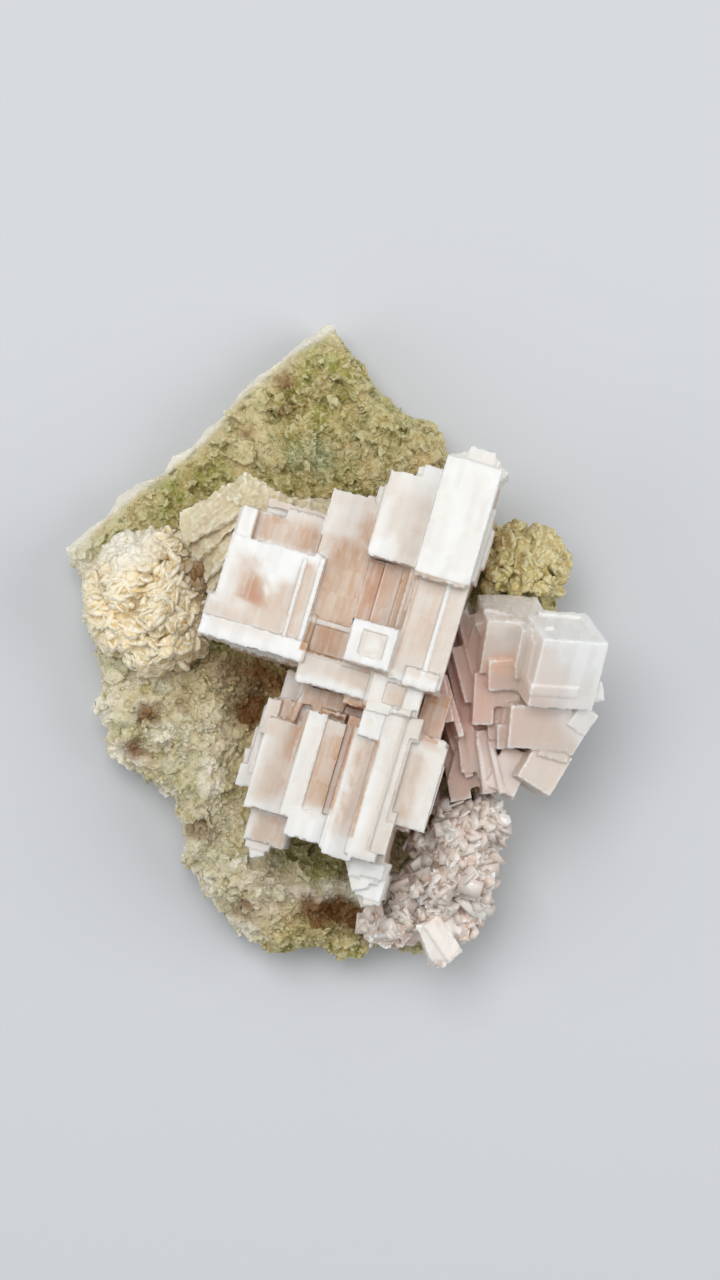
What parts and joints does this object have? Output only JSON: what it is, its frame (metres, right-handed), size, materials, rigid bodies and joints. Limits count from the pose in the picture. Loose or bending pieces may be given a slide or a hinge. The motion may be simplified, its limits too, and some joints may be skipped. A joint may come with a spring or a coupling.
{
  "type": "halite on trona mineral specimen",
  "caption": "Hand-sized mineral specimen: pink-white stepped hopper crystals of halite standing on an olive-green plate of bladed trona, lying on its broken back.",
  "frame": {"origin": "middle of the bounding box's base, on the flat broken back", "axes": "+Z out of the crystal face, +Y towards the plate's pointed corner, +X to the right of the face"},
  "size_m": [0.0762, 0.0916, 0.0355],
  "materials": {
    "trona_olive": "rough, sugary, olive-green to tan with pale blade tips",
    "halite_white": "frosted translucent crystal, white edges and salmon-pink hollows",
    "trona_cream": "translucent cream laths",
    "trona_peach": "translucent peach blades with cream rims",
    "trona_yellow": "translucent olive-yellow blades with pale rims",
    "halite_pink": "frosted small crystals, pale grey-pink"
  },
  "bodies": {
    "root": {"trona_matrix": "trona_olive", "halite_main": "halite_white", "halite_right": "halite_white", "trona_blades_upper": "trona_cream", "trona_rosette_left": "trona_peach", "trona_rosette_right": "trona_yellow", "halite_druse": "halite_pink"}
  },
  "joints": []
}
